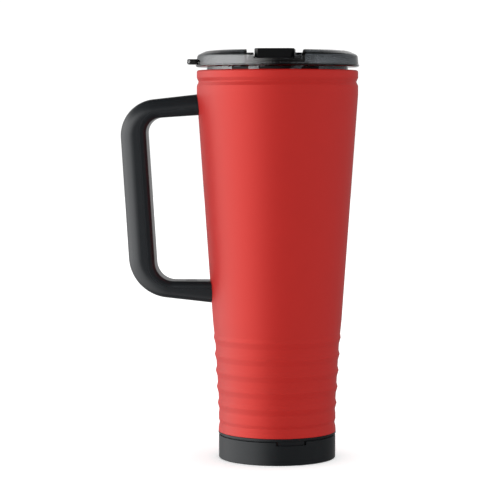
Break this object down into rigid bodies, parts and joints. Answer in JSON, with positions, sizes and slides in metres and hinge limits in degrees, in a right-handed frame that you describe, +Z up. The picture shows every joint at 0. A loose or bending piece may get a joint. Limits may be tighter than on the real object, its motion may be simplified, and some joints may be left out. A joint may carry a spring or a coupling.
{
  "type": "insulated travel mug",
  "caption": "Tall tapered double-walled travel mug with ribbed grip zone, side handle, black base and a push-on clear smoke lid with a sliding stopper.",
  "frame": {"origin": "centre of the underside of the foot pad, on the surface the mug stands on, on the mug's axis", "axes": "+Z up along the mug's axis, the handle points to -X, the drinking side of the lid is -Y"},
  "size_m": [0.1547, 0.1058, 0.2653],
  "materials": {
    "red_paint": "powder coated, satin",
    "brushed_steel": "brushed",
    "black_plastic": "satin moulded",
    "rubber": "matte",
    "smoke_plastic": "clear smoke, polished",
    "black_gloss": "fine satin",
    "zinc_steel": "plated",
    "getter_alloy": "pressed powder"
  },
  "bodies": {
    "vessel": {"outer_shell": "red_paint", "inner_liner": "brushed_steel", "shell_bottom": "brushed_steel", "exhaust_seal": "zinc_steel", "getter_holder": "brushed_steel", "getter": "getter_alloy", "base_ring": "black_plastic", "base_cup": "black_plastic", "foot_pad": "rubber", "upper_bracket": "brushed_steel", "lower_bracket": "brushed_steel", "handle_shell": "black_plastic", "handle_inner_cover": "black_plastic", "handle_screws": "zinc_steel", "screw_plugs": "black_plastic"},
    "lid": {"lid_base": "smoke_plastic", "lid_cover": "smoke_plastic", "lid_gasket": "rubber"},
    "stopper": {"slider": "black_gloss", "slider_seal": "rubber"}
  },
  "joints": [
    {"name": "lid_lift", "type": "slide", "parent": "vessel", "child": "lid", "axis": [0, 0, 1], "range_m": [0, 0.05]},
    {"name": "stopper_slide", "type": "slide", "parent": "lid", "child": "stopper", "axis": [0, 1, 0], "range_m": [0, 0.02]}
  ]
}
